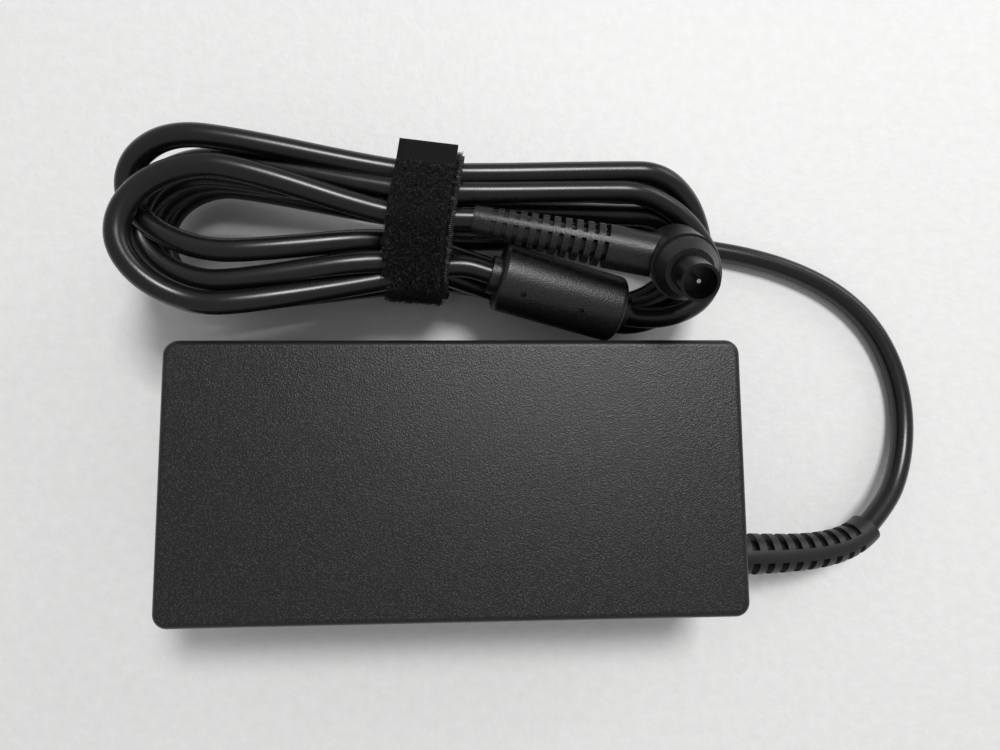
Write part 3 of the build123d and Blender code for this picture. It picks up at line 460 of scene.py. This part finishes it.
CASE = case_finish()
CORD = cord_finish()
STEEL = metal_finish("plated_metal", (0.68, 0.67, 0.64), 0.24, 0.3 * MM, (0.1, 1, 1))
finishes = {
    "case_plastic": CASE,
    "label_film": label_finish(),
    "inlet_plastic": moulded_finish("inlet_plastic", (0.017, 0.017, 0.018), 0.42, 0.5 * MM, 0.02 * MM),
    "plated_metal": STEEL,
    "board_laminate": board_finish(),
    "insulating_film": moulded_finish("insulating_film", (0.6, 0.6, 0.56), 0.35, 1.5 * MM, 0.02 * MM, 1.1),
    "aluminium": metal_finish("aluminium", (0.74, 0.74, 0.75), 0.34, 0.4 * MM, (0.08, 1, 1)),
    "device_black": moulded_finish("device_black", (0.022, 0.022, 0.023), 0.55, 0.25 * MM, 0.03 * MM),
    "device_white": moulded_finish("device_white", (0.7, 0.69, 0.65), 0.5, 0.3 * MM, 0.02 * MM, 1.1),
    "yellow_case": moulded_finish("yellow_case", (0.66, 0.42, 0.04), 0.35, 0.6 * MM, 0.02 * MM, 1.1),
    "ferrite_ceramic": ferrite_finish(),
    "copper_wire": banded_finish("copper_wire", (0.62, 0.24, 0.1), 0.3, 0.9 * MM, "Y", 0.3 * MM, 1.0),
    "capacitor_sleeve": banded_finish("capacitor_sleeve", (0.03, 0.035, 0.11), 0.28, 14 * MM, "Y", 0.0),
    "blue_ceramic": moulded_finish("blue_ceramic", (0.05, 0.16, 0.42), 0.25, 0.8 * MM, 0.03 * MM, 1.2),
    "bobbin_plastic": moulded_finish("bobbin_plastic", (0.05, 0.044, 0.038), 0.5, 0.4 * MM, 0.03 * MM),
    "winding_tape": banded_finish("winding_tape", (0.7, 0.5, 0.07), 0.28, 6 * MM, "Y", 0.06 * MM),
    "brown_wire": moulded_finish("brown_wire", (0.13, 0.05, 0.022), 0.35, 0.5 * MM, 0.01 * MM, 1.2),
    "blue_wire": moulded_finish("blue_wire", (0.03, 0.09, 0.34), 0.35, 0.5 * MM, 0.01 * MM, 1.2),
    "green_wire": moulded_finish("green_wire", (0.06, 0.27, 0.07), 0.35, 0.5 * MM, 0.01 * MM, 1.2),
    "red_wire": moulded_finish("red_wire", (0.42, 0.025, 0.02), 0.35, 0.5 * MM, 0.01 * MM, 1.2),
    "boot_rubber": moulded_finish("boot_rubber", (0.009, 0.009, 0.0095), 0.42, 0.4 * MM, 0.04 * MM),
    "cord_pvc": CORD,
    "hook_and_loop": strap_finish("hook_and_loop", (0.003, 0.003, 0.0033), 0.45 * MM),
    # The pits here are painted 4.5 times paler: painted sparkle highlights on the grain.
    "moulded_black": moulded_finish(
        "moulded_black", (0.008, 0.008, 0.0085), 0.34, 0.34 * MM, 0.09 * MM, 4.5
    ),
    "black_metal": metal_finish("black_metal", (0.045, 0.045, 0.047), 0.3, 0.3 * MM, (1, 1, 0.1)),
    "insulator_black": moulded_finish("insulator_black", (0.008, 0.008, 0.009), 0.3, 0.4 * MM, 0.01 * MM),
}
PILE = fibre_finish()

for part in frame["record"]["subparts"]:
    node_mesh = frame["nodes"][part["node"]].data
    node_mesh.materials.clear()
    node_mesh.materials.append(finishes[part["material_slot"]])


# ---------------------------------------------------------------- camera
def camera():
    data = bpy.data.cameras.new("camera")
    data.sensor_width = CAMERA_SENSOR
    data.lens = CAMERA_LENS
    data.clip_start = CAMERA_NEAR
    data.clip_end = CAMERA_FAR
    eye = link(bpy.data.objects.new("camera", data))
    eye.location = CAMERA_PLACE
    eye.rotation_euler = [math.radians(angle) for angle in CAMERA_TURN]
    bpy.context.scene.camera = eye


camera()


# ---------------------------------------------------------------- cord
def loop_points(side, loop, back_first):
    """One loop of the hank, from the tie out to its end and back."""
    end, back, front, roundness, back_height, end_height, front_height, slant = loop
    middle = (back + front) / 2
    half = (back - front) / 2
    first = LOOP_REACH if back_first else -LOOP_REACH
    points = []
    for n in range(LOOP_POINTS):
        angle = first * (1 - 2 * n / (LOOP_POINTS - 1))
        swing = math.sin(angle)
        edge_height = back_height if swing > 0 else front_height
        x = end + side * (roundness * (math.cos(angle) - 1) + slant * swing)
        height = end_height + (edge_height - end_height) * swing**2
        points.append(Vector((x, middle + half * swing, height)) * MM)
    return points


def hank_route():
    """The whole cord: the lead, the tied turns, the ferrite and the plug's boot."""
    route = [Vector(point) for point in LEAD_ROUTE]
    last = len(LEFTWARD_PASSES) - 1
    for n, (leftward, rightward) in enumerate(zip(LEFTWARD_PASSES, RIGHTWARD_PASSES)):
        if n == last:
            route += [Vector(point) for point in FERRITE_ROUTE]
        route.append(Vector((TIE_RIGHT, *leftward[2:])) * MM)
        route.append(Vector((TIE_LEFT, *leftward[:2])) * MM)
        route += loop_points(-1, LEFT_LOOPS[n], False)
        route.append(Vector((TIE_LEFT, *rightward[:2])) * MM)
        route.append(Vector((TIE_RIGHT, *rightward[2:])) * MM)
        if n < last:
            route += loop_points(1, RIGHT_LOOPS[n], True)
    route.append(Vector(PLUG_BOOT_TIP))
    return route


def smooth_cord(name, route, diameter):
    """A round cord along a smooth curve that starts and ends on the route's own ends."""
    curve = bpy.data.curves.new(name, "CURVE")
    curve.dimensions = "3D"
    curve.bevel_depth = diameter / 2
    curve.bevel_resolution = CORD_ROUND_STEPS
    curve.resolution_u = CORD_RUN_STEPS
    curve.use_fill_caps = True
    spline = curve.splines.new("NURBS")
    spline.points.add(len(route) - 1)
    for point, place in zip(spline.points, route):
        point.co = (*place, 1)
    spline.order_u = 3
    spline.use_endpoint_u = True
    curve.materials.append(CORD)
    return link(bpy.data.objects.new(name, curve))


cord = smooth_cord("output_cord", hank_route(), CORD_DIAMETER)
rides(cord, "cord_pvc", "dc_lead", "cord_hank")


# ---------------------------------------------------------------- tie
tie_heading = Matrix.Rotation(TIE_TURN, 3, "Z") @ Vector((1, 0, 0))
tie_side = UP.cross(tie_heading)


def strands_at(share):
    """Where the cord's passes cross a section of the tie, sideways and upwards from its centre."""
    found = []
    for back_y, back_z, near_y, near_z in LEFTWARD_PASSES + RIGHTWARD_PASSES:
        x = TIE_LEFT + (TIE_RIGHT - TIE_LEFT) * share
        y = back_y + (near_y - back_y) * share
        z = back_z + (near_z - back_z) * share
        offset = Vector((x, y, 0)) * MM - TIE_CENTRE
        found.append((offset.dot(tie_side), z * MM))
    return found


def wrap_point(degrees, across, stand_off):
    """A point of a band pulled tight round the passes: angle round them, place across, height off them."""
    angle = math.radians(degrees)
    out = (math.cos(angle), math.sin(angle))
    strands = strands_at(0.5 + TIE_FOLLOW * across / TIE_WIDTH)
    reaches = [s[0] * out[0] + s[1] * out[1] for s in strands]
    weights = [math.exp((reach - max(reaches)) / TIE_EASE) for reach in reaches]
    sideways = sum(w * s[0] for w, s in zip(weights, strands)) / sum(weights)
    height = sum(w * s[1] for w, s in zip(weights, strands)) / sum(weights)
    reach = CORD_DIAMETER / 2 + stand_off
    place = TIE_CENTRE + tie_heading * across + tie_side * (sideways + reach * out[0])
    place.z = height + reach * out[1]
    return place, tie_side * out[0] + UP * out[1]


def tie_sections():
    """The band's run, as (degrees round the hank, height off the cord, length along the flap)."""
    runs = []
    for degrees in range(TIE_START, TIE_LEAVE - 1, -TIE_STEP):
        layer = (TIE_START - degrees) / 360
        runs.append((degrees, TIE_SLACK + TIE_THICKNESS * layer, 0.0))
    for step in range(1, FLAP_STEPS + 1):
        runs.append((TIE_LEAVE, runs[-1][1], FLAP_LENGTH * step / FLAP_STEPS))
    return runs


def tie_point(run, across, lift=0.0):
    """A point of the band: one of its sections, place across, height off the section."""
    degrees, stand_off, flap = run
    swept = min(1.0, (TIE_START - degrees) / LAYER_SHIFT_SWEEP)
    layer_shift = LAYER_SHIFT * math.cos(math.pi * swept)
    place, normal = wrap_point(degrees, across, stand_off + lift)
    along = tie_side * math.sin(math.radians(degrees)) - UP * math.cos(math.radians(degrees))
    curl = FLAP_CURL * flap**2 / FLAP_LENGTH
    place = place + tie_heading * layer_shift + along * flap + UP * (curl + FLAP_RISE * flap)
    return place, normal


def band_mesh(name, material):
    """The woven ground of the tie, wound round the hank and ending in its free flap."""
    runs = tie_sections()
    vertices = []
    for run in runs:
        for lift in (0.0, TIE_THICKNESS):
            for n in range(TIE_ACROSS):
                share = n / (TIE_ACROSS - 1) - 0.5
                vertices.append(tie_point(run, TIE_WIDTH * share, lift)[0])
    ring = list(range(TIE_ACROSS)) + list(range(2 * TIE_ACROSS - 1, TIE_ACROSS - 1, -1))
    faces = []
    for r in range(len(runs) - 1):
        low, high = r * 2 * TIE_ACROSS, (r + 1) * 2 * TIE_ACROSS
        for a, b in zip(ring, ring[1:] + ring[:1]):
            faces.append((low + a, low + b, high + b, high + a))
    for base in (0, (len(runs) - 1) * 2 * TIE_ACROSS):
        for n in range(TIE_ACROSS - 1):
            faces.append((base + n, base + n + 1, base + TIE_ACROSS + n + 1, base + TIE_ACROSS + n))
    return mesh_piece(name, vertices, faces, material)


def pile_ground():
    """The outward face of the band where its pile stands, up to the bare end of the flap."""
    flap_end = PILE_ON_FLAP * FLAP_LENGTH
    runs = [run for run in tie_sections() if run[0] <= PILE_START and run[2] < flap_end]
    vertices = []
    for run in runs:
        for n in range(TIE_ACROSS):
            share = n / (TIE_ACROSS - 1) - 0.5
            vertices.append(tie_point(run, PILE_SPREAD * TIE_WIDTH * share, TIE_THICKNESS)[0])
    faces = []
    for r in range(len(runs) - 1):
        for n in range(TIE_ACROSS - 1):
            a = r * TIE_ACROSS + n
            faces.append((a, a + TIE_ACROSS, a + TIE_ACROSS + 1, a + 1))
    mesh = bpy.data.meshes.new("pile_ground")
    mesh.from_pydata([tuple(v) for v in vertices], [], faces)
    mesh.update()
    middle = mesh.polygons[len(mesh.polygons) // 2]
    hank_middle = TIE_CENTRE + UP * 16 * MM
    if middle.normal.dot(middle.center - hank_middle) < 0:
        mesh.flip_normals()
    return link(bpy.data.objects.new("pile_ground", mesh))


def new_tree(name, inputs):
    """A geometry tree with named inputs, and its input and output nodes."""
    tree = bpy.data.node_groups.new(name, "GeometryNodeTree")
    tree.interface.new_socket("Geometry", in_out="INPUT", socket_type="NodeSocketGeometry")
    for label, kind in inputs.items():
        tree.interface.new_socket(label, in_out="INPUT", socket_type=kind)
    tree.interface.new_socket("Geometry", in_out="OUTPUT", socket_type="NodeSocketGeometry")
    return tree, tree.nodes.new("NodeGroupInput"), tree.nodes.new("NodeGroupOutput")


def add_node(tree, kind, settings=(), inputs=()):
    """A node with its settings, and its inputs set or linked."""
    made = tree.nodes.new(kind)
    for key, value in dict(settings).items():
        setattr(made, key, value)
    for key, value in dict(inputs).items():
        socket = made.inputs[key]
        if isinstance(value, bpy.types.NodeSocket):
            tree.links.new(value, socket)
        else:
            socket.default_value = value
    return made


def grown(host, tree, values, name, material):
    """Runs a geometry tree on host and keeps the result as a plain mesh."""
    modifier = host.modifiers.new("grow", "NODES")
    modifier.node_group = tree
    given = [item for item in tree.interface.items_tree if item.in_out == "INPUT"]
    sockets = {item.name: item.identifier for item in given}
    for label, value in values.items():
        modifier[sockets[label]] = value
    graph = bpy.context.evaluated_depsgraph_get()
    mesh = bpy.data.meshes.new_from_object(host.evaluated_get(graph))
    mesh.name = name
    host.modifiers.remove(modifier)
    bpy.data.objects.remove(host)
    if not mesh.materials:
        mesh.materials.append(material)
    for polygon in mesh.polygons:
        polygon.use_smooth = True
    return link(bpy.data.objects.new(name, mesh))


def pile_tree():
    """Scatters small standing fibre loops over a surface."""
    inputs = {
        "Density": "NodeSocketFloat",
        "Span": "NodeSocketFloat",
        "Height": "NodeSocketFloat",
        "Fibre": "NodeSocketFloat",
        "Seed": "NodeSocketInt",
        "Material": "NodeSocketMaterial",
    }
    tree, given, result = new_tree("loop_pile", inputs)
    take = given.outputs
    spots = add_node(
        tree,
        "GeometryNodeDistributePointsOnFaces",
        inputs={"Mesh": take["Geometry"], "Density": take["Density"], "Seed": take["Seed"]},
    )
    reach = add_node(tree, "ShaderNodeCombineXYZ", inputs={0: take["Span"]})
    start = add_node(
        tree, "ShaderNodeVectorMath", {"operation": "SCALE"}, {0: reach.outputs[0], "Scale": -1.0}
    )
    top = add_node(tree, "ShaderNodeCombineXYZ", inputs={2: take["Height"]})
    arc = add_node(
        tree,
        "GeometryNodeCurveQuadraticBezier",
        inputs={
            "Resolution": FIBRE_STEPS,
            "Start": start.outputs[0],
            "Middle": top.outputs[0],
            "End": reach.outputs[0],
        },
    )
    round_section = add_node(
        tree,
        "GeometryNodeCurvePrimitiveCircle",
        inputs={"Resolution": FIBRE_SIDES, "Radius": take["Fibre"]},
    )
    fibre = add_node(
        tree,
        "GeometryNodeCurveToMesh",
        inputs={"Curve": arc.outputs[0], "Profile Curve": round_section.outputs[0], "Fill Caps": True},
    )
    lean = add_node(
        tree,
        "FunctionNodeRandomValue",
        {"data_type": "FLOAT_VECTOR"},
        {
            0: (-FIBRE_LEAN, -FIBRE_LEAN, -FIBRE_TURN),
            1: (FIBRE_LEAN, FIBRE_LEAN, FIBRE_TURN),
            "Seed": take["Seed"],
        },
    )
    turned = add_node(
        tree,
        "FunctionNodeRotateRotation",
        {"rotation_space": "LOCAL"},
        {0: spots.outputs["Rotation"]},
    )
    as_rotation = add_node(tree, "FunctionNodeEulerToRotation", inputs={0: lean.outputs[0]})
    tree.links.new(as_rotation.outputs[0], turned.inputs[1])
    size = add_node(
        tree,
        "FunctionNodeRandomValue",
        {"data_type": "FLOAT"},
        {2: FIBRE_SCALE[0], 3: FIBRE_SCALE[1], "Seed": FIBRE_SCALE_SEED},
    )
    placed = add_node(
        tree,
        "GeometryNodeInstanceOnPoints",
        inputs={
            "Points": spots.outputs["Points"],
            "Instance": fibre.outputs[0],
            "Rotation": turned.outputs[0],
            "Scale": size.outputs[1],
        },
    )
    real = add_node(tree, "GeometryNodeRealizeInstances", inputs={0: placed.outputs[0]})
    painted = add_node(
        tree,
        "GeometryNodeSetMaterial",
        inputs={"Geometry": real.outputs[0], "Material": take["Material"]},
    )
    tree.links.new(painted.outputs[0], result.inputs[0])
    return tree


def rib_tree():
    """Lays short threads side by side along an edge line."""
    inputs = {
        "Pitch": "NodeSocketFloat",
        "Length": "NodeSocketFloat",
        "Thread": "NodeSocketFloat",
        "Material": "NodeSocketMaterial",
    }
    tree, given, result = new_tree("edge_ribs", inputs)
    take = given.outputs
    line = add_node(tree, "GeometryNodeMeshToCurve", inputs={0: take["Geometry"]})
    spots = add_node(
        tree,
        "GeometryNodeResampleCurve",
        {"mode": "LENGTH"},
        {"Curve": line.outputs[0], "Length": take["Pitch"]},
    )
    points = add_node(tree, "GeometryNodeCurveToPoints", {"mode": "EVALUATED"}, {0: spots.outputs[0]})
    thread = add_node(
        tree,
        "GeometryNodeMeshCylinder",
        inputs={"Vertices": RIB_SIDES, "Radius": take["Thread"], "Depth": take["Length"]},
    )
    facing = add_node(
        tree,
        "FunctionNodeAlignRotationToVector",
        {"axis": "Z"},
        {"Vector": tuple(tie_heading)},
    )
    placed = add_node(
        tree,
        "GeometryNodeInstanceOnPoints",
        inputs={
            "Points": points.outputs[0],
            "Instance": thread.outputs["Mesh"],
            "Rotation": facing.outputs[0],
        },
    )
    real = add_node(tree, "GeometryNodeRealizeInstances", inputs={0: placed.outputs[0]})
    painted = add_node(
        tree,
        "GeometryNodeSetMaterial",
        inputs={"Geometry": real.outputs[0], "Material": take["Material"]},
    )
    tree.links.new(painted.outputs[0], result.inputs[0])
    return tree


def edge_line():
    """The inner layer's right-hand edge, over the top of the hank."""
    vertices = []
    for degrees in range(RIBS_START, RIBS_END, -TIE_STEP):
        run = (degrees, TIE_SLACK + TIE_THICKNESS * (TIE_START - degrees) / 360, 0.0)
        vertices.append(tuple(tie_point(run, 0.5 * TIE_WIDTH, TIE_THICKNESS)[0]))
    mesh = bpy.data.meshes.new("edge_line")
    mesh.from_pydata(vertices, [(n, n + 1) for n in range(len(vertices) - 1)], [])
    return link(bpy.data.objects.new("edge_line", mesh))


strap = rides(band_mesh("tie_band", finishes["hook_and_loop"]), "hook_and_loop", "cable_tie")
pile_values = {
    "Density": PILE_DENSITY,
    "Span": FIBRE_SPAN,
    "Height": FIBRE_HEIGHT,
    "Fibre": FIBRE_RADIUS,
    "Seed": PILE_SEED,
    "Material": PILE,
}
pile = rides(grown(pile_ground(), pile_tree(), pile_values, "tie_pile", PILE), "hook_and_loop")
rib_values = {
    "Pitch": RIB_PITCH,
    "Length": RIB_LENGTH,
    "Thread": RIB_RADIUS,
    "Material": PILE,
}
ribs = rides(grown(edge_line(), rib_tree(), rib_values, "tie_edge_ribs", PILE), "hook_and_loop")


# ---------------------------------------------------------------- floor and light
def floor():
    reach = FLOOR_REACH
    corners = [(-reach, -reach, 0), (reach, -reach, 0), (reach, reach, 0), (-reach, reach, 0)]
    sheet = mesh_piece("floor", corners, [(0, 1, 2, 3)], floor_finish(), smooth=False)


def lamp(name, place, size, power):
    data = bpy.data.lights.new(name, "AREA")
    data.shape = "RECTANGLE"
    data.size, data.size_y = size
    data.energy = power
    light = link(bpy.data.objects.new(name, data))
    light.location = place
    light.rotation_euler = (Vector(LAMP_TARGET) - Vector(place)).to_track_quat("-Z", "Y").to_euler()


def studio():
    world = bpy.data.worlds.new("studio")
    world.use_nodes = True
    sky = world.node_tree.nodes["Background"]
    sky.inputs["Color"].default_value = (1, 1, 1, 1)
    sky.inputs["Strength"].default_value = SKY_STRENGTH
    bpy.context.scene.world = world
    bpy.context.scene.view_settings.view_transform = "Standard"
    for values in LAMPS:
        lamp(*values)


floor()
studio()
